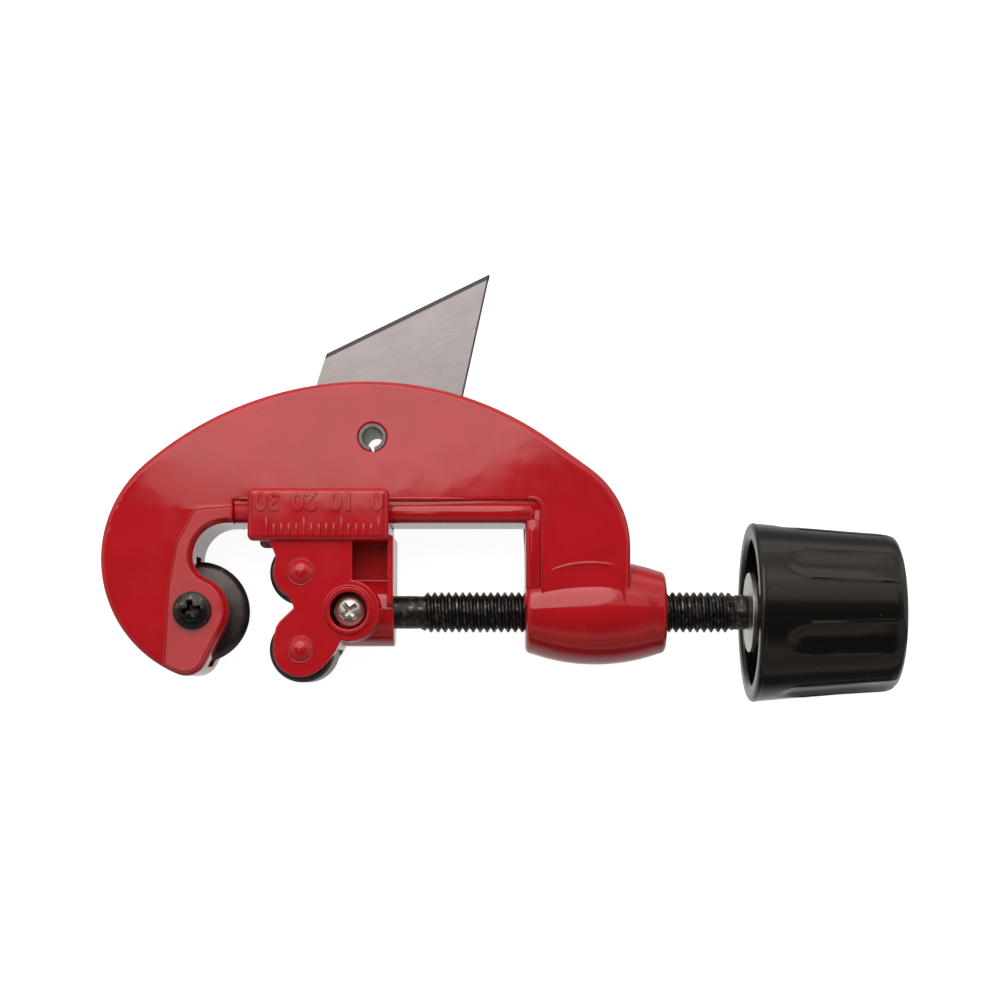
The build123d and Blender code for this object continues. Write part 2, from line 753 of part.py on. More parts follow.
with BuildPart() as knob_washer:
    with BuildSketch(across(recess_floor + seat_gap)):
        Circle(knob_washer_radius)
        Circle(knob_screw_radius + seat_gap, mode=Mode.SUBTRACT)
    extrude(amount=knob_washer_thick)
finish(knob_washer.part, "knob_washer")

with BuildPart() as knob_screw:
    seat = recess_floor + knob_washer_thick + 2 * seat_gap
    head_plane = Plane(origin=side.origin + Vector(seat, 0, 0), x_dir=(0, 1, 0), z_dir=(0, 0, -1))
    revolve(pan_head(head_plane, knob_screw_head_radius, knob_screw_head_height), axis=spindle_axis)
    with BuildSketch(across(seat)):
        Circle(knob_screw_radius)
    extrude(amount=-knob_screw_length)
    recess_plane = across(seat + knob_screw_head_height)
    extrude(cross_recess(recess_plane, *small_cross), amount=-recess_depth, mode=Mode.SUBTRACT)
finish(knob_screw.part, "knob_screw")
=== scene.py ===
"""A pipe cutter with a folding reamer, dressed for the shelf.

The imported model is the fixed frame. Castings, screws, blade, wheels, thread and knob are finished here,
and every piece gets the finish of the real thing: enamel, zinc, black oxide, ground steel or plastic.
"""

import json
import math

import bpy
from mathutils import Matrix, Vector


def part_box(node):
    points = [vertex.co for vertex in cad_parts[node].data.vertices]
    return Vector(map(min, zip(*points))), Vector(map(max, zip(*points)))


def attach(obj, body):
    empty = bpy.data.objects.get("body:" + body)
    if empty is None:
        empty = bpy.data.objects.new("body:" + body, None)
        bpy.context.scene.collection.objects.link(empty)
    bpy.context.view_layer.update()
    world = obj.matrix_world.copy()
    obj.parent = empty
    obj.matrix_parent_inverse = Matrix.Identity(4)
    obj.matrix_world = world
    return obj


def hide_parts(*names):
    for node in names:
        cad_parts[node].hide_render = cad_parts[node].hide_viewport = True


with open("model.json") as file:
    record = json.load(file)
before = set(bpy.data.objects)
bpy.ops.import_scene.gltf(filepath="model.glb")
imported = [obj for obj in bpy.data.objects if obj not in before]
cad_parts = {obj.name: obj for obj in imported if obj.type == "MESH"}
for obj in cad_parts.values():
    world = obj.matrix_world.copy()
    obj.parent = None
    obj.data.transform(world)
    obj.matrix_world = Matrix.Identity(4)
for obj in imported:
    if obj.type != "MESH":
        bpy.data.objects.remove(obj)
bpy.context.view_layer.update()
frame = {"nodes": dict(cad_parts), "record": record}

nodes = frame["nodes"]
mm = 0.001

low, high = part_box("cutting_wheel")
wheel_axle = (low + high) / 2


def at(x, y, z=0.0):
    """A place from the cutting wheel's centre, in millimetres.

    It is given along the spindle, up to the arch, and forward.
    """
    return wheel_axle + Vector((x, y, z)) * mm


def from_axle(point):
    """The other way round: a point's distances from the cutting wheel's centre."""
    return (point - wheel_axle) / mm


# ------------------------------------------------------------------ finishes
class Value:
    """A number, colour or vector inside a finish. Arithmetic on it adds Math nodes."""

    def __init__(self, finish, socket):
        self.finish = finish
        self.socket = socket

    def math(self, operation, *values):
        return self.finish.node("ShaderNodeMath", {"operation": operation}, *values)

    def __add__(self, other):
        return self.math("ADD", self, other)

    def __sub__(self, other):
        return self.math("SUBTRACT", self, other)

    def __rsub__(self, other):
        return self.math("SUBTRACT", other, self)

    def __mul__(self, other):
        return self.math("MULTIPLY", self, other)

    def __gt__(self, other):
        return self.math("GREATER_THAN", self, other)

    def __lt__(self, other):
        return self.math("LESS_THAN", self, other)

    __radd__ = __add__
    __rmul__ = __mul__


class Shading:
    """A tree of shader nodes, built by calls and by arithmetic on their values."""

    def __init__(self, tree):
        self.tree = tree

    def put(self, socket, value):
        """Links a value to a socket, or sets the socket to a constant."""
        if isinstance(value, Value):
            self.tree.links.new(value.socket, socket)
        else:
            socket.default_value = value

    def node(self, kind, settings, *values, output=0, **named):
        """Adds a node with its settings, or a ramp's stops, then its values by order or by name."""
        node = self.tree.nodes.new(kind)
        stops = settings.pop("stops", ())
        for setting, value in settings.items():
            setattr(node, setting, value)
        for _ in stops[2:]:
            node.color_ramp.elements.new(0.5)
        for number, (position, colour) in enumerate(stops):
            node.color_ramp.elements[number].position = position
            node.color_ramp.elements[number].color = colour
        for socket, value in zip(node.inputs, values):
            self.put(socket, value)
        for socket, value in named.items():
            self.put(node.inputs[socket.replace("_", " ")], value)
        return Value(self, node.outputs[output])

    def end_in(self, kind, shader):
        """Ends the tree in an output node."""
        self.put(self.tree.nodes.new(kind).inputs["Surface"], shader)


class Finish(Shading):
    """A material: one shader, and what varies over the surface."""

    def __init__(self, name, **constants):
        self.material = bpy.data.materials.new(name)
        self.material.use_nodes = True
        super().__init__(self.material.node_tree)
        self.shader = self.tree.nodes["Principled BSDF"]
        for socket, value in constants.items():
            self.shader.inputs[socket.replace("_", " ")].default_value = value
        self.place = self.node("ShaderNodeTexCoord", {}, output="Object")

    def noise(self, size, detail=2.0, roughness=0.5, stretch=(1, 1, 1)):
        """Cloudy noise whose patches are about size millimetres across."""
        place = self.node("ShaderNodeMapping", {}, self.place, Scale=stretch)
        scale = 1 / (size * mm)
        return self.node(
            "ShaderNodeTexNoise", {}, Vector=place, Scale=scale, Detail=detail, Roughness=roughness
        )

    def between(self, value, start, end):
        """0 below start, 1 above end, smooth between."""
        settings = {"interpolation_type": "SMOOTHSTEP"}
        return self.node("ShaderNodeMapRange", settings, value, start, end, 0.0, 1.0)

    def specks(self, size, share):
        """Small round specks in a scattered share of cells, size millimetres apart."""
        cells = {"Vector": self.place, "Scale": 1 / (size * mm)}
        distance = self.node("ShaderNodeTexVoronoi", {}, output="Distance", **cells)
        colour = self.node("ShaderNodeTexVoronoi", {}, output="Color", **cells)
        pick = self.node("ShaderNodeSeparateColor", {}, colour)
        speck_radius = 0.11
        return (distance < speck_radius) * (pick < share)

    def beside(self, start, end, width):
        """1 within width millimetres of the line from start to end."""
        across = Vector((start.y - end.y, end.x - start.x, 0)).normalized()
        settings = {"operation": "DOT_PRODUCT"}
        away = self.node("ShaderNodeVectorMath", settings, self.place, across, output="Value")
        line = across.dot(start)
        return (away > line - width * mm) * (away < line + width * mm)

    def mixed(self, factor, first, second):
        """The first colour where the factor is 0, the second where it is 1."""
        node = self.tree.nodes.new("ShaderNodeMix")
        node.data_type = "RGBA"
        self.put(node.inputs[0], factor)
        self.put(node.inputs[6], first)
        self.put(node.inputs[7], second)
        return Value(self, node.outputs[2])

    def set(self, **sockets):
        """Feeds the shader's sockets."""
        for socket, value in sockets.items():
            self.put(self.shader.inputs[socket.replace("_", " ")], value)

    def bump(self, height, distance):
        """Raises the surface by up to distance millimetres where height is 1."""
        raised = self.node("ShaderNodeBump", {}, Height=height, Distance=distance * mm)
        self.set(Normal=raised)


def rgba(red, green, blue):
    return (red, green, blue, 1)


def red_enamel():
    """Thick glossy enamel over a casting: slight orange peel, and dust under the coat."""
    enamel = Finish("red_enamel", Roughness=0.09, IOR=1.5)
    deep = rgba(0.52, 0.0095, 0.0155)
    thin = rgba(0.47, 0.0085, 0.0135)
    patches = enamel.noise(9, 3)
    dust = enamel.specks(1.9, 0.07)
    colour = enamel.mixed(enamel.between(patches, 0.35, 0.7), deep, thin)
    enamel.set(Base_Color=enamel.mixed(dust * 0.6, colour, rgba(0.12, 0.006, 0.009)))
    enamel.set(Roughness=enamel.between(enamel.noise(4, 4), 0.3, 0.8) * 0.06 + 0.07)
    peel = enamel.noise(1.6, 1.0) * 0.004 + enamel.noise(5, 1) * 0.02
    enamel.bump(peel + dust * 0.02, 1.0)
    return enamel.material


def black_oxide(name="black_oxide", dull=0.4, worn=0.5):
    """Blackened steel: satin, greyer where it is rubbed."""
    oxide = Finish(name, Metallic=0.75, IOR=1.6)
    rubbed = oxide.between(oxide.noise(1.1, 5, 0.7), worn, worn + 0.2)
    oxide.set(Base_Color=oxide.mixed(rubbed, rgba(0.026, 0.023, 0.021), rgba(0.19, 0.168, 0.155)))
    oxide.set(Roughness=dull - rubbed * 0.1)
    oxide.bump(oxide.noise(0.35, 3), 0.012)
    return oxide.material


def wheel_steel():
    """Hardened steel, ground and oiled: dark, with fine turning marks."""
    steel = Finish("wheel_steel", Metallic=0.9, IOR=1.6)
    stain = steel.noise(2.4, 4, 0.6)
    steel.set(Base_Color=steel.mixed(stain, rgba(0.04, 0.033, 0.031), rgba(0.13, 0.115, 0.108)))
    steel.set(Roughness=stain * 0.16 + 0.3)
    steel.bump(steel.noise(0.3, 3), 0.01)
    return steel.material


def blade_steel():
    """Sheet steel for the reamer: satin, with scratches along the sheet, a few dark marks, painted shade along its
    upper left edge and a thin dark line down its right edge.
    """
    steel = Finish("blade_steel", Metallic=0.85, IOR=1.6)
    turned = steel.node("ShaderNodeMapping", {}, steel.place, Rotation=(0, 0, math.radians(-26)))
    brushed = steel.node("ShaderNodeMapping", {}, turned, Scale=(0.06, 1, 1))
    lines = steel.node(
        "ShaderNodeTexNoise", {}, Vector=brushed, Scale=1 / (0.25 * mm), Detail=4.0
    )
    stain = steel.noise(7, 4, 0.6)
    colour = steel.mixed(stain, rgba(0.245, 0.222, 0.218), rgba(0.325, 0.296, 0.291))
    marks = steel.between(steel.noise(2.2, 5, 0.75), 0.66, 0.74)
    colour = steel.mixed(marks * 0.4, colour, rgba(0.16, 0.14, 0.132))
    tip = at(51.75, 60.7)
    # painted shade: the first line darkens a band along the blade's upper left edge, which bends away into shade;
    # the second darkens a thin line down the right edge
    lip = steel.beside(at(22.55, 46.3), tip, 0.75)
    right_edge_line = steel.beside(tip, at(46.6, 37.0), 0.3)
    dark = lip + right_edge_line
    steel.set(Base_Color=steel.mixed(dark * 0.88, colour, rgba(0.03, 0.026, 0.024)))
    steel.set(Roughness=lines * 0.2 + 0.28)
    steel.bump(lines, 0.01)
    return steel.material


def bright_zinc():
    """Bright zinc plate: pale and shiny, a little cloudy."""
    zinc = Finish("bright_zinc", Metallic=1.0, IOR=1.6)
    cloud = zinc.noise(0.9, 4, 0.6)
    zinc.set(Base_Color=zinc.mixed(cloud, rgba(0.5, 0.465, 0.41), rgba(0.78, 0.74, 0.68)))
    zinc.set(Roughness=cloud * 0.16 + 0.24)
    zinc.bump(zinc.noise(0.4, 3), 0.012)
    return zinc.material


def spring_steel():
    """The rolled pin: plain steel with dark mill marks."""
    steel = Finish("spring_steel", Metallic=1.0, IOR=1.6)
    cloud = steel.noise(0.8, 4, 0.65)
    steel.set(Base_Color=steel.mixed(cloud, rgba(0.05, 0.041, 0.037), rgba(0.26, 0.22, 0.2)))
    steel.set(Roughness=cloud * 0.2 + 0.24)
    steel.bump(steel.noise(0.3, 3), 0.012)
    return steel.material


def knob_plastic():
    """Semi-gloss black moulding, with handling scuffs that run round it and fine dust."""
    plastic = Finish("knob_plastic", IOR=1.5, Specular_Tint=rgba(1.0, 0.88, 0.76))
    scuffs = plastic.between(plastic.noise(3.0, 6, 0.75, stretch=(0.35, 1, 1)), 0.6, 0.78)
    dust = plastic.specks(1.3, 0.07)
    colour = plastic.mixed(scuffs, rgba(0.0052, 0.0049, 0.0045), rgba(0.017, 0.0152, 0.0135))
    plastic.set(Base_Color=plastic.mixed(dust * 0.6, colour, rgba(0.09, 0.085, 0.08)))
    plastic.set(Roughness=plastic.noise(0.8, 4) * 0.08 + scuffs * 0.12 + 0.15)
    plastic.bump(plastic.noise(0.9, 3) * 0.5 + scuffs * 0.2, 0.008)
    return plastic.material


finishes = {
    "red_enamel": red_enamel(),
    "black_oxide": black_oxide(),
    "wheel_steel": wheel_steel(),
    "blade_steel": blade_steel(),
    "bright_steel": bright_zinc(),
    "pin_steel": spring_steel(),
    "knob_plastic": knob_plastic(),
}
slot_of = {part["node"]: part["material_slot"] for part in frame["record"]["subparts"]}
for name, node in nodes.items():
    node.data.materials.clear()
    node.data.materials.append(finishes[slot_of[name]])

# ------------------------------------------------------------------ hand work
def hold(piece):
    """Makes this the one piece that the next tool works on."""
    bpy.ops.object.select_all(action="DESELECT")
    piece.select_set(True)
    bpy.context.view_layer.objects.active = piece


def copy_of(node, name):
    """A merged copy of a CAD node, with each flat face whole again."""
    piece = bpy.data.objects.new(name, nodes[node].data.copy())
    bpy.context.scene.collection.objects.link(piece)
    hold(piece)
    bpy.ops.mesh.customdata_custom_splitnormals_clear()
    bpy.ops.object.mode_set(mode="EDIT")
    bpy.ops.mesh.select_all(action="SELECT")
    bpy.ops.mesh.remove_doubles(threshold=0.001 * mm)
    bpy.ops.mesh.dissolve_limited(angle_limit=math.radians(0.4))
    bpy.ops.object.mode_set(mode="OBJECT")
    return piece


def split_hollow_faces(piece, chosen):
    """Splits the chosen faces where they aren't convex, so that none folds over itself when rounded."""
    bpy.ops.object.mode_set(mode="EDIT")
    bpy.ops.mesh.select_mode(type="FACE")
    bpy.ops.mesh.select_all(action="DESELECT")
    bpy.ops.object.mode_set(mode="OBJECT")
    for face in piece.data.polygons:
        face.select = chosen(face)
    bpy.ops.object.mode_set(mode="EDIT")
    bpy.ops.mesh.vert_connect_concave()
    bpy.ops.mesh.select_mode(type="VERT")
    bpy.ops.object.mode_set(mode="OBJECT")


def soften(piece, width, angle=32, segments=3, slide=True):
    """Rounds every edge sharper than angle by width millimetres, and shades the piece smooth."""
    hold(piece)
    edges = piece.modifiers.new("edges", "BEVEL")
    edges.width = width * mm
    edges.segments = segments
    edges.limit_method = "ANGLE"
    edges.angle_limit = math.radians(angle)
    edges.use_clamp_overlap = False
    edges.loop_slide = slide
    bpy.ops.object.modifier_apply(modifier="edges")
    bpy.ops.object.shade_smooth_by_angle(angle=math.radians(35))
    flats = piece.modifiers.new("flats", "WEIGHTED_NORMAL")
    flats.keep_sharp = True
    bpy.ops.object.modifier_apply(modifier="flats")


def settle(piece, *stands_for, finish=None):
    """Puts the piece on its body, in place of its CAD nodes, with their finish or a shade of it."""
    first = stands_for[0]
    piece.data.materials.clear()
    piece.data.materials.append(finish or finishes[slot_of[first]])
    for face in piece.data.polygons:
        face.material_index = 0
    bodies = frame["record"]["behaviour"]["bodies"]
    body = next(name for name, members in bodies.items() if first in members)
    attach(piece, body)
    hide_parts(*stands_for)


def apply_place(piece):
    """Moves the piece's place and turn into its mesh."""
    hold(piece)
    bpy.ops.object.transform_apply(location=True, rotation=True, scale=True)


def lathe(name, centre, along, stations, sides=64, ring=False):
    """A turned piece. Stations are (height along the axis from centre, radius), in millimetres.

    A ring's last station is its first again, and closes it.
    """
    along = Vector(along)
    height, radius = stations[0]
    bpy.ops.object.select_all(action="DESELECT")
    bpy.ops.mesh.primitive_circle_add(
        vertices=sides,
        radius=radius * mm,
        fill_type="NOTHING" if ring else "NGON",
        location=centre + along * height * mm,
        rotation=along.to_track_quat("Z", "Y").to_euler(),
    )
    piece = bpy.context.object
    piece.name = name
    apply_place(piece)
    bpy.ops.object.mode_set(mode="EDIT")
    bpy.ops.mesh.select_all(action="SELECT")
    for (low, inner), (high, outer) in zip(stations, stations[1:]):
        move = {"value": along * (high - low) * mm}
        if ring:
            bpy.ops.mesh.extrude_edges_move(TRANSFORM_OT_translate=move)
        else:
            bpy.ops.mesh.extrude_region_move(TRANSFORM_OT_translate=move)
        grow = outer / inner
        bpy.ops.transform.resize(value=(grow, grow, grow), center_override=centre + along * high * mm)
    bpy.ops.mesh.select_all(action="SELECT")
    if ring:
        bpy.ops.mesh.remove_doubles(threshold=0.001 * mm)
    bpy.ops.mesh.normals_make_consistent(inside=False)
    bpy.ops.object.mode_set(mode="OBJECT")
    return piece


def join(piece, *others):
    """Makes the others part of the piece."""
    hold(piece)
    for other in others:
        other.select_set(True)
    bpy.ops.object.join()


def smooth(piece, angle=40):
    """Shades the piece smooth, except at edges sharper than angle."""
    hold(piece)
    bpy.ops.object.shade_smooth_by_angle(angle=math.radians(angle))


def block(middle, size, rounding, segments, angle):
    """A box with rounded edges. Its size is in millimetres."""
    bpy.ops.object.select_all(action="DESELECT")
    bpy.ops.mesh.primitive_cube_add(size=1, location=middle)
    piece = bpy.context.object
    piece.scale = Vector(size) * mm
    apply_place(piece)
    edges = piece.modifiers.new("edges", "BEVEL")
    edges.width = rounding * mm
    edges.segments = segments
    bpy.ops.object.modifier_apply(modifier="edges")
    smooth(piece, angle)
    return piece


def carve(piece, tool):
    """Cuts the tool's shape out of the piece."""
    hold(piece)
    cut = piece.modifiers.new("cut", "BOOLEAN")
    cut.operation = "DIFFERENCE"
    cut.solver = "EXACT"
    cut.object = tool
    bpy.ops.object.modifier_apply(modifier="cut")
    bpy.data.objects.remove(tool)


def dome(rim, top, radius, steps=10):
    """Stations over a low round head, from its rim to its top."""
    shares = [1 - step / steps for step in range(steps)] + [0.02]
    return [(rim + (top - rim) * (1 - share**2) ** 0.8, radius * share) for share in shares]


# ------------------------------------------------------------------ castings
# depths from the tool's middle plane to each side
frame_face = 8.35
pad_face = 8.65
groove_face = 7.1

# where the raised land beside the wheel's screw ends, from the bead down
land_edge = [(0.3, 17.65), (-2.8, 11.8), (-4.2, 4.4), (-4.9, -9.3), (-4.9, -15.0)]


def crease(y):
    """How far along the spindle the edge of the raised land is, at this height."""
    for (right, high), (left, below) in zip(land_edge, land_edge[1:]):
        if y >= below:
            return left + (right - left) * min(max((y - below) / (high - below), 0), 1)
    return land_edge[-1][0]


def ease(value, start, end):
    """0 before start, 1 after end, smooth between."""
    part = min(max((value - start) / (end - start), 0), 1)
    return part * part * (3 - 2 * part)


def bar(name, along, middle, half, front, flat, stations, end):
    """A rounded bar along the spindle or up the strut. It is flat at the sides and round at both faces.

    Its middle line is at middle, with half its width, and its end is domed from the last station on.
    """
    spindle_way = along[0] == 1
    reach = end - stations[-1]
    turns = (0.3, 0.6, 0.9, 1.15, 1.35, 1.52)
    rounds = [(stations[-1] + reach * math.sin(turn), math.cos(turn)) for turn in turns]
    opening = ((0, 0.55), (0.15, 0.8), (0.45, 0.95), (0.9, 1.0))
    heights = [(stations[0] + height, share) for height, share in opening]
    heights += [(height, 1.0) for height in stations[1:]] + rounds
    blank = 10.0  # the turned bar's radius, before it is drawn out to its real width and depth
    piece = lathe(name, at(0, 0), along, [(height, share * blank) for height, share in heights])
    for vertex in piece.data.vertices:
        place = from_axle(vertex.co)
        across = place.y if spindle_way else place.x
        side = across / blank * half + middle
        out = place.z / blank
        share = math.hypot(across, place.z) / blank
        edge = flat * (share if share < 0.999 else 1)
        deep = math.copysign(edge, out) + out * (front - flat) if abs(out) > 0.001 else 0
        vertex.co = at(place.x, side, deep) if spindle_way else at(side, place.y, deep)
    smooth(piece, 50)
    return piece


def ridge(points, radius, depth):
    """A thin raised line on a face, through three places."""
    line = bpy.data.curves.new("ridge", "CURVE")
    line.dimensions = "3D"
    line.bevel_depth = radius * mm
    line.bevel_resolution = 3
    line.use_fill_caps = True
    first, middle, last = (Vector(point) for point in points)
    pull = 2 * middle - (first + last) / 2
    spline = line.splines.new("POLY")
    steps = 24
    spline.points.add(steps)
    for step, point in enumerate(spline.points):
        share = step / steps
        flat = first * (1 - share) ** 2 + pull * 2 * share * (1 - share) + last * share**2
        point.co = (*at(flat.x, flat.y, depth), 1)
        point.radius = min(1, 0.15 + 5 * min(share, 1 - share))
    piece = bpy.data.objects.new("ridge", line)
    bpy.context.scene.collection.objects.link(piece)
    hold(piece)
    bpy.ops.object.convert(target="MESH")
    smooth(bpy.context.object, 60)
    return bpy.context.object


def barrel():
    """The barrel round the spindle's thread. It stands out evenly in front of the strut."""
    middle, half, full, crown = 70.55, 12.45, 9.33, 34.15

    def radius(x):
        return full - crown + math.sqrt(crown**2 - (x - middle) ** 2)

    left, right = middle - half + 0.02, middle + half
    rounding, hole = 1, 5.2
    first, last = left + rounding, right - rounding
    quarter = [step * math.pi / 12 for step in range(7)]
    stations = [(left, hole)]
    stations += [
        (first - math.cos(turn), radius(first) - rounding + math.sin(turn)) for turn in quarter
    ]
    stations += [(first + step * 0.8, radius(first + step * 0.8)) for step in range(1, 28)]
    stations += [
        (last + math.cos(turn), radius(last) - rounding + math.sin(turn)) for turn in quarter[::-1]
    ]
    stations += [(right, hole), (left, hole)]
    piece = lathe("barrel", at(0, 0), (1, 0, 0), stations, sides=144, ring=True)
    for vertex in piece.data.vertices:
        x = max(from_axle(vertex.co).x, first)
        if x < middle:
            front = full - 0.4 * ((middle - x) / half) ** 2
            vertex.co.z = wheel_axle.z + (vertex.co.z - wheel_axle.z) * front / radius(x)
    smooth(piece, 40)
    return piece


def slope_hook(piece):
    """Lets both faces of the hook slope away beside the land, and fades the slope out at the arch."""
    cuts = [(at(0, y), (0, 1, 0)) for y in (26, 24, 22, 21, 20.2, 19.4, 18.6, 17.8, 16, 14, 12, 10, 5, 0, -5, -10)]
    cuts += [(at(x, 0), (1, 0, 0)) for x in (-14.5, -13, -11.5, -10, -7.5, -5, -2.5, 0)]
    for place, normal in cuts:
        for face in piece.data.polygons:
            depth = abs(from_axle(face.center).z)
            face.select = abs(face.normal.z) > 0.9 and abs(depth - frame_face) < 0.15
        bpy.ops.object.mode_set(mode="EDIT")
        bpy.ops.mesh.bisect(plane_co=place, plane_no=normal)
        bpy.ops.object.mode_set(mode="OBJECT")
    slope = 0.034
    fade_start, fade_end, fade_spread = 17.8, 20.2, 0.35
    for vertex in piece.data.vertices:
        place = from_axle(vertex.co)
        depth = abs(place.z)
        if place.x < 1 and place.y < 27 and groove_face < depth < frame_face + 0.05:
            beside = max(crease(place.y) - place.x, 0)
            spread = fade_spread * beside
            fade = 1 - ease(place.y, fade_start - spread, fade_end + spread)
            share = (depth - groove_face) / (frame_face - groove_face)
            fall = slope * beside * fade * share
            vertex.co.z += math.copysign(fall * mm, -place.z)


def lower_pad(piece):
    """Brings the pad above the barrel down to the strut's face, since only its edge is seen."""
    left, right, top, straight = 60.5, 75.8, 8.2, 5.2
    for vertex in piece.data.vertices:
        place = from_axle(vertex.co)
        on_pad = left < place.x < right and 0 < place.y < top
        if on_pad and abs(abs(place.z) - pad_face) < 0.012:
            if place.y < straight:
                up = math.sqrt(place.y**2 + pad_face**2 - frame_face**2)
                vertex.co.y = wheel_axle.y + up * mm
            vertex.co.z += math.copysign((pad_face - frame_face) * mm, -place.z)


def frame_casting():
    """The C-frame: its hook slopes away beside the land, and the paint rounds every edge."""
    piece = copy_of("frame", "frame_casting")
    land_back = -8.7
    split_hollow_faces(piece, lambda face: from_axle(face.center).z < land_back)
    slope_hook(piece)
    lower_pad(piece)
    hold(piece)
    bpy.ops.object.mode_set(mode="EDIT")
    bpy.ops.mesh.select_all(action="SELECT")
    bpy.ops.mesh.remove_doubles(threshold=0.02 * mm)
    bpy.ops.mesh.dissolve_degenerate(threshold=0.002 * mm)
    bpy.ops.object.mode_set(mode="OBJECT")
    soften(piece, 0.3)
    # rounding throws a point out of each narrow corner of the groove: it goes back under the bead
    for vertex in piece.data.vertices:
        depth = from_axle(vertex.co).z
        if abs(depth) > 9.6:
            vertex.co.z = wheel_axle.z + math.copysign(groove_face * mm, depth)
    bead = bar("bead", (1, 0, 0), 17.35, 1.93, 8.2, 6.4, [6.4, 55, 58.6], 61.5)
    rim = bar("rim", (0, 1, 0), 59.5, 1.37, 8.1, 7.45, [3.4, 14, 15.6], 17.5)
    valleys = []
    for left, right, foot, top, front in (
        (6.95, 60.68, 17.5, 19.45, 7.8),
        (59.6, 60.73, 2.6, 19.3, 7.78),
    ):
        middle = at((left + right) / 2, (foot + top) / 2)
        valleys.append(block(middle, (right - left, top - foot, 2 * front), 0.15, 2, 35))
    above_bead = [(7.2, 19.65), (20, 19.65), (57.8, 19.65)]
    round_corner = [(57.8, 19.65), (60.2, 19.5), (60.95, 17.6)]
    over_barrel = [(61.2, 6.5), (68.2, 8.3), (75.0, 7.5)]
    ridges = [
        ridge(line, radius, 8.05 * side)
        for line, radius in ((above_bead, 0.45), (round_corner, 0.45), (over_barrel, 0.5))
        for side in (1, -1)
    ]
    join(piece, bead, rim, barrel(), *valleys, *ridges)
    settle(piece, "frame")


def scale_marks(side):
    """Raised figures and ruler marks for one face of the carriage. They read from the arch's side."""
    back, front = (corner.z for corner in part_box("carriage"))
    face = front if side > 0 else back
    turn = (0, 0, math.pi) if side > 0 else (0, math.pi, math.pi)
    marks = []
    figures_top, marks_foot = 20.4, 12.9
    for figure, x in (("0", 32.1), ("10", 26.1), ("20", 19.5), ("30", 13.1)):
        bpy.ops.object.select_all(action="DESELECT")
        place = at(x, figures_top)
        bpy.ops.object.text_add(location=(place.x, place.y, face), rotation=turn)
        text = bpy.context.object
        text.data.body = figure
        text.data.size = 4.5 * mm
        text.data.align_x = "CENTER"
        text.data.extrude = 0.2 * mm
        text.data.bevel_depth = 0.1 * mm
        text.data.bevel_resolution = 2
        text.data.offset = 0.06 * mm
        bpy.ops.object.convert(target="MESH")
        apply_place(bpy.context.object)
        smooth(bpy.context.object, 50)
        marks.append(bpy.context.object)
    first_mark, spacing, width, rise = 32.5, 1.3, 0.55, 0.6
    for step in range(16):
        length = 3.3 if step % 5 == 0 else 2.2
        place = at(first_mark - step * spacing, marks_foot + length / 2)
        middle = (place.x, place.y, face)
        marks.append(block(middle, (width, length, rise), 0.16, 3, 50))
    return marks


def carriage_casting():
    """The sliding carriage, with figures and ruler marks raised on both faces."""
    piece = copy_of("carriage", "carriage_casting")
    split_hollow_faces(piece, lambda face: abs(face.normal.z) < 0.5)
    soften(piece, 0.3, slide=False)
    for side in (1, -1):
        join(piece, *scale_marks(side))
    settle(piece, "carriage")


def rivet(node, name):
    """A roller's rivet: a low dome inside a faint ring, on both cheeks."""
    low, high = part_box(node)
    centre = (low + high) / 2
    top = (high.z - centre.z) / mm
    cheek = top - 1.02
    ring = [(-0.2, 1.6), (-0.2, 2.45), (0.06, 2.45), (0.12, 2.38), (0.12, 2.26), (0.03, 2.16), (0.06, 2.08)]
    head = [(0, 1.6)] + [(cheek + rise, radius) for rise, radius in ring]
    head += dome(cheek + 0.14, top, 2.0)
    back = [(-height, radius) for height, radius in reversed(head[1:])]
    piece = lathe(name, centre, (0, 0, 1), back + head[1:])
    smooth(piece, 60)
    settle(piece, node)


def cross_head(node, name, profile, head, recess, turn, edge, finish=None):
    """A pan-head screw with a cross recess. Its profile goes from the tip to the head's rim.

    Places in the profile are from the head's top. The head's rim is at head[0], with radius head[1].
    """
    low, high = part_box(node)
    centre = Vector(((low.x + high.x) / 2, (low.y + high.y) / 2, high.z))
    piece = lathe(name, centre, (0, 0, 1), profile + dome(head[0], 0, head[1])[1:])
    reach, width, depth = recess
    for arm in (turn, turn + 90):
        bpy.ops.object.select_all(action="DESELECT")
        bpy.ops.mesh.primitive_cube_add(size=1, location=centre, rotation=(0, 0, math.radians(arm)))
        slot = bpy.context.object
        slot.scale = (reach * mm, width * mm, depth * 2 * mm)
        apply_place(slot)
        taper = 0.5
        for vertex in slot.data.vertices:
            if vertex.co.z < centre.z:
                vertex.co.x += (centre.x - vertex.co.x) * taper
                vertex.co.y += (centre.y - vertex.co.y) * taper
        carve(piece, slot)
    soften(piece, edge, angle=50, segments=2)
    settle(piece, node, finish=finish)


def screws():
    """The blackened screw that carries the wheel, and the plated one that keeps the spindle in the carriage."""
    foot = (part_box("retaining_screw")[0].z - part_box("retaining_screw")[1].z) / mm
    profile = [(foot, 1.3), (foot + 0.2, 1.5), (-2.0, 1.5)]
    profile += [(-2.0, 2.6), (-1.9, 2.7), (-0.7, 2.7), (-0.5, 2.62)]
    recess = (4.5, 1.15, 1.2)
    cross_head("retaining_screw", "retaining_screw_plated", profile, (-0.5, 2.6), recess, 40, 0.07)
    foot = (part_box("wheel_screw")[0].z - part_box("wheel_screw")[1].z) / mm
    shank = 2.35
    profile = [(foot, shank - 0.3), (foot + 0.3, shank), (-1.9, shank)]
    profile += [(-1.9, 3.2), (-1.8, 3.3), (-1.0, 3.3), (-0.85, 3.25)]
    recess = (4.8, 1.3, 1.6)
    shiny = black_oxide("screw_oxide", dull=0.26, worn=0.52)
    cross_head(
        "wheel_screw", "wheel_screw_blackened", profile, (-0.85, 3.22), recess, 12, 0.1, shiny
    )


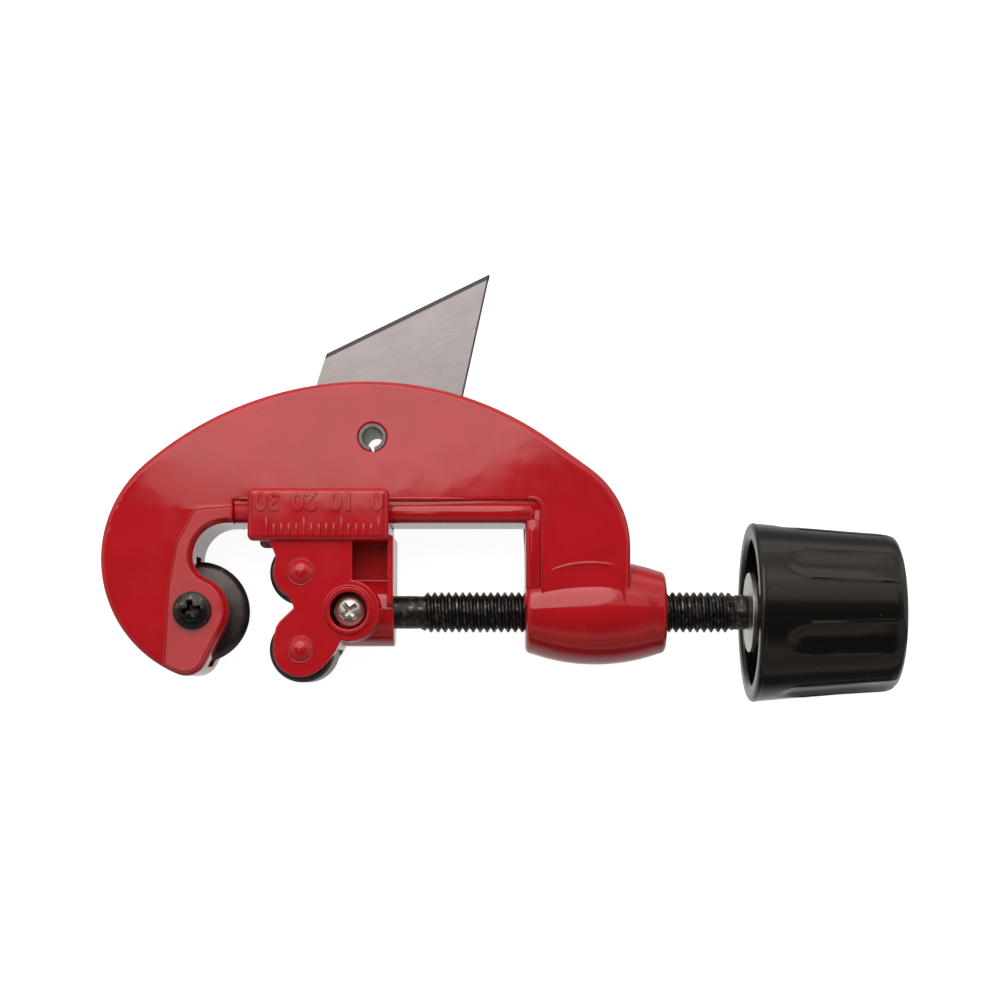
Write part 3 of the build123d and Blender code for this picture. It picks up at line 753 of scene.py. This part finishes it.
def feed_spindle():
    """The spindle: a right-hand thread of 1.25 mm pitch between a plain end and the journal for the knob."""
    start, pitch, turns, root, crest = 39.1, 1.25, 45, 2.95, 3.6
    end = start + pitch * turns
    centre = at(0, 0)
    bpy.ops.object.select_all(action="DESELECT")
    bpy.ops.mesh.primitive_grid_add(x_subdivisions=5, y_subdivisions=1, size=2 * mm, location=centre)
    thread = bpy.context.object
    thread.name = "feed_spindle"
    bpy.ops.object.mode_set(mode="EDIT")
    bpy.ops.mesh.select_all(action="DESELECT")
    bpy.ops.object.mode_set(mode="OBJECT")
    for vertex in thread.data.vertices:
        vertex.select = vertex.co.y > 0
    bpy.ops.object.mode_set(mode="EDIT")
    bpy.ops.mesh.delete(type="VERT")
    bpy.ops.object.mode_set(mode="OBJECT")
    tooth = [(0, root), (0.1, root), (0.43, crest), (0.63, crest), (0.96, root), (1, root)]
    for vertex, (share, radius) in zip(sorted(thread.data.vertices, key=lambda v: v.co.x), tooth):
        vertex.co = ((start + share * pitch) * mm, 0, radius * mm)
    helix = thread.modifiers.new("helix", "SCREW")
    helix.axis = "X"
    helix.angle = 2 * math.pi
    helix.screw_offset = pitch * mm
    helix.iterations = turns
    helix.steps = helix.render_steps = 40
    bpy.ops.object.modifier_apply(modifier="helix")
    for vertex in thread.data.vertices:
        out = math.hypot(vertex.co.y, vertex.co.z)
        run_in = ease(vertex.co.x / mm, start, start + 1.6 * pitch)
        run_out = 1 - ease(vertex.co.x / mm, end - pitch, end + 0.3 * pitch)
        grow = (root + (out / mm - root) * run_in * run_out) * mm / out
        vertex.co.y *= grow
        vertex.co.z *= grow
    bpy.ops.object.mode_set(mode="EDIT")
    bpy.ops.mesh.select_all(action="SELECT")
    bpy.ops.mesh.remove_doubles(threshold=0.002 * mm)
    bpy.ops.mesh.normals_make_consistent(inside=False)
    bpy.ops.object.mode_set(mode="OBJECT")
    apply_place(thread)
    tail = (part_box("spindle")[1].x - centre.x) / mm
    journal = end + 2.1
    stations = [(24.9, 2.4), (25.1, 2.75), (25.4, 2.93), (25.6, 2.93)]
    stations += [(25.6, 1.9), (28.8, 1.9), (28.8, 2.93), (start - 0.2, 2.93), (start, 2.88)]
    stations += [(end, 2.88), (end + 0.2, 3.05), (end + 0.3, 3.1)]
    stations += [(journal - 0.15, 3.1), (journal, 2.95), (journal, 2.3)]
    stations += [(tail - 0.3, 2.3), (tail, 2.0)]
    shaft = lathe("shaft", centre, (1, 0, 0), stations)
    join(thread, shaft)
    smooth(thread, 35)
    settle(thread, "spindle")


def knob_moulding():
    """The knob: a tapered cup with seven shallow flutes, each between two faint lips."""
    low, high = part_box("knob")
    start = (low.x - wheel_axle.x) / mm
    end = (high.x - wheel_axle.x) / mm
    mouth, waist, tail, inner, cavity, hub, bore = 16.0, 15.2, 14.0, 12.9, 11.6, 6.0, 2.37
    hub_face = start + 5.7

    def side(x):
        """The moulding's radius, along an arc from the mouth through the waist to the end."""
        share = (x - start) / (end - start)
        waist_share = 9.0 / (end - start)
        bend = (waist - mouth - (tail - mouth) * waist_share) / (waist_share * (waist_share - 1))
        return mouth + (tail - mouth) * share + bend * share * (share - 1)

    quarter = [step * math.pi / 12 for step in range(7)]
    lip_round, end_round = 0.8, 1.6
    outside = [
        (start + lip_round * (1 - math.cos(turn)), inner + lip_round - lip_round * math.sin(turn))
        for turn in quarter[::-1]
    ]
    outside += [
        (start + lip_round * (1 - math.sin(turn)), mouth - lip_round + lip_round * math.cos(turn))
        for turn in quarter[::-1]
    ]
    outside += [(start + step * 0.5, side(start + step * 0.5)) for step in range(2, 49)]
    outside += [
        (end - end_round * (1 - math.sin(turn)), tail - end_round * (1 - math.cos(turn)))
        for turn in quarter
    ]
    recess, floor, end_wall, pocket = 4.7, end - 2.5, end - 4.0, start + 5.9
    inside = [(end, recess + 0.2), (end - 0.1, recess), (floor, recess), (floor, bore)]
    inside += [(hub_face, bore), (hub_face, hub - 0.2), (hub_face + 0.2, hub)]
    inside += [(end_wall, hub), (end_wall, cavity), (pocket + 0.2, cavity)]
    inside += [(pocket, cavity + 0.2), (pocket, inner), outside[0]]
    piece = lathe("knob_moulding", at(0, 0), (1, 0, 0), outside + inside, sides=336, ring=True)
    apart, first_flute, flute_half = 360 / 7, 6.5, 11.4  # degrees
    for vertex in piece.data.vertices:
        x, y, z = from_axle(vertex.co)
        out = math.hypot(y, z)
        if x < start + 2 or x > end - 0.05 or out < 13.4:
            continue
        turn = math.degrees(math.atan2(z, y)) - first_flute
        off = abs((turn + apart / 2) % apart - apart / 2)
        half = flute_half * (0.86 + 0.14 * (x - start) / (end - start))
        begin = start + 4.2 + 2.6 * (1 - math.sqrt(max(1 - min(off / half, 1) ** 2, 0)))
        depth = 0.62 * ease(x, begin, begin + 3.2) * (1 - 0.55 * ease(x, end - 9, end))
        bowl = (1 - min(off / half, 1) ** 2) ** 1.5
        lip = 0.16 * math.exp(-(((off - half * 1.03) / 1.0) ** 2)) * ease(x, begin - 0.6, begin + 2.5)
        grow = (out - depth * bowl + lip * (1 - ease(x, end - 3, end))) / out
        vertex.co.y = wheel_axle.y + y * grow * mm
        vertex.co.z = wheel_axle.z + z * grow * mm
    smooth(piece, 40)
    settle(piece, "knob")


def spring_disc():
    """The dished disc in the knob's mouth, with pressed rings."""
    low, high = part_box("spring_disc")
    x = (low.x - wheel_axle.x) / mm
    face = [(0, 2.4), (0.14, 3.4), (0.2, 3.7), (0.13, 3.95), (0.26, 5.0)]
    face += [(0.33, 5.25), (0.27, 5.5), (0.42, 6.8), (0.5, 7.02)]
    back = [(0.6, 7.1), (1.3, 7.1), (1.4, 7.0), (0.9, 2.4), (0, 2.4)]
    stations = [(x + height, radius) for height, radius in face + back]
    piece = lathe("spring_disc_plated", at(0, 0), (1, 0, 0), stations, sides=96, ring=True)
    smooth(piece, 30)
    settle(piece, "spring_disc")


frame_casting()
carriage_casting()
rivet("upper_roller_pin", "upper_rivet")
rivet("lower_roller_pin", "lower_rivet")
screws()
feed_spindle()
knob_moulding()
spring_disc()

softened = {
    "cutting_wheel": ("cutting_wheel_ground", 0.06),
    "upper_roller": ("upper_roller_ground", 0.15),
    "lower_roller": ("lower_roller_ground", 0.15),
    "reamer_blade": ("reamer_blade_folded", 0.12),
    "reamer_pin": ("reamer_pin_rolled", 0.15),
}
for node, (name, width) in softened.items():
    piece = copy_of(node, name)
    soften(piece, width)
    settle(piece, node)

# ------------------------------------------------------------------ stage
def greys(stops, tint=(1, 1, 1)):
    """A ramp's stops, from pairs of place and grey."""
    return [(position, (*(grey * share for share in tint), 1)) for position, grey in stops]


def table():
    """A white table that the knob's rim and the tip of the wheel's screw rest on.

    It glows a little to the camera, and in the tool's reflections by a ramp that paints light and shade across the
    table.
    """
    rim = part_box("knob")[0]
    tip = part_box("wheel_screw")[0]
    slope = (tip.z - rim.z) / (rim.x - wheel_axle.x)
    middle = Vector((0, 0, rim.z + slope * rim.x))
    bpy.ops.mesh.primitive_plane_add(size=6, location=middle, rotation=(0, math.atan(slope), 0))
    top = bpy.context.object
    top.name = "table"
    white = bpy.data.materials.new("table_white")
    white.use_nodes = True
    white.node_tree.nodes.clear()
    paint = Shading(white.node_tree)
    seen = paint.node("ShaderNodeLightPath", {}, output="Is Camera Ray")
    mirrored = paint.node("ShaderNodeLightPath", {}, output="Is Glossy Ray")
    place = paint.node("ShaderNodeTexCoord", {}, output="Object")
    up = paint.node("ShaderNodeSeparateXYZ", {}, place, output="Y")
    reach = 0.2
    share = paint.node("ShaderNodeMapRange", {}, up, -reach, reach)
    # painted light and shade in reflections: dark beyond about 100 mm on the -Y side, bright from about 56 mm on
    # the -Y side to the middle, dark from about 24 to 52 mm on the +Y side, bright from 100 mm on
    stops = [(0.0, 0.08), (0.26, 0.1), (0.36, 0.75), (0.5, 0.6)]
    stops += [(0.56, 0.2), (0.63, 0.25), (0.75, 0.9), (1.0, 0.9)]
    ramp = paint.node("ShaderNodeValToRGB", {"stops": greys(stops)}, share)
    glow = paint.node("ShaderNodeEmission", {}, Strength=seen * 0.93 + mirrored * ramp)
    diffuse = paint.node("ShaderNodeBsdfDiffuse", {}, Color=rgba(0.5, 0.5, 0.5))
    dull = paint.node("ShaderNodeMixShader", {}, mirrored, diffuse)
    both = paint.node("ShaderNodeAddShader", {}, dull, glow)
    paint.end_in("ShaderNodeOutputMaterial", both)
    top.data.materials.append(white)


def sky():
    """White round the horizon, dark overhead, and plain white to the camera."""
    world = bpy.data.worlds.new("studio")
    bpy.context.scene.world = world
    world.use_nodes = True
    world.node_tree.nodes.clear()
    air = Shading(world.node_tree)
    direction = air.node("ShaderNodeTexCoord", {}, output="Generated")
    height = air.node("ShaderNodeSeparateXYZ", {}, direction, output="Z")
    side = air.node("ShaderNodeSeparateXYZ", {}, direction, output="Y")
    stops = [(0.0, 1.05), (0.04, 1.05), (0.14, 0.6), (0.4, 0.62), (0.56, 1.0), (0.76, 0.1), (1.0, 0.06)]
    warm = (1, 0.955, 0.91)
    colour = air.node("ShaderNodeValToRGB", {"stops": greys(stops, warm)}, height)
    stops = [(0.0, 0.5), (0.3, 0.5), (0.62, 1.1), (1.0, 1.15)]
    share = air.node("ShaderNodeMapRange", {}, side, -1.0)
    strength = air.node("ShaderNodeValToRGB", {"stops": greys(stops)}, share)
    studio = air.node("ShaderNodeBackground", {}, colour, strength)
    plain = air.node("ShaderNodeBackground", {}, rgba(1, 1, 1))
    seen = air.node("ShaderNodeLightPath", {}, output="Is Camera Ray")
    air.end_in("ShaderNodeOutputWorld", air.node("ShaderNodeMixShader", {}, seen, studio, plain))


def softbox(name, centre, width, depth, radiance, shape="ELLIPSE"):
    """A flat soft light that faces down."""
    lamp = bpy.data.lights.new(name, "AREA")
    lamp.shape = shape
    lamp.size = width * mm
    lamp.size_y = depth * mm
    area = lamp.size * lamp.size_y * (math.pi / 4 if shape == "ELLIPSE" else 1)
    lamp.energy = math.pi * area * radiance
    lamp.color = (1, 0.985, 0.96)
    light = bpy.data.objects.new(name, lamp)
    light.location = centre
    bpy.context.scene.collection.objects.link(light)


def camera():
    """Looks straight down on the tool, from a little below its middle."""
    lens = bpy.data.cameras.new("camera")
    lens.sensor_width = 36
    lens.lens = 70.2
    lens.shift_y = 0.08
    eye = bpy.data.objects.new("camera", lens)
    eye.location = Vector((-2.56, -34.45, 364.2)) * mm
    eye.rotation_euler = (math.radians(2.94), math.radians(-0.38), 0)
    bpy.context.scene.collection.objects.link(eye)
    bpy.context.scene.camera = eye


table()
sky()
softbox("overhead", at(0, 330, 348), 380, 560, 2.6)
softbox("beside_the_hook", at(-53.5, 0, 348), 37, 130, 1.45, "RECTANGLE")
softbox("left_wing", at(-215, 250, 348), 170, 320, 2.0, "RECTANGLE")
softbox("right_wing", at(235, 250, 348), 210, 320, 0.7, "RECTANGLE")
camera()
bpy.context.scene.view_settings.view_transform = "Standard"
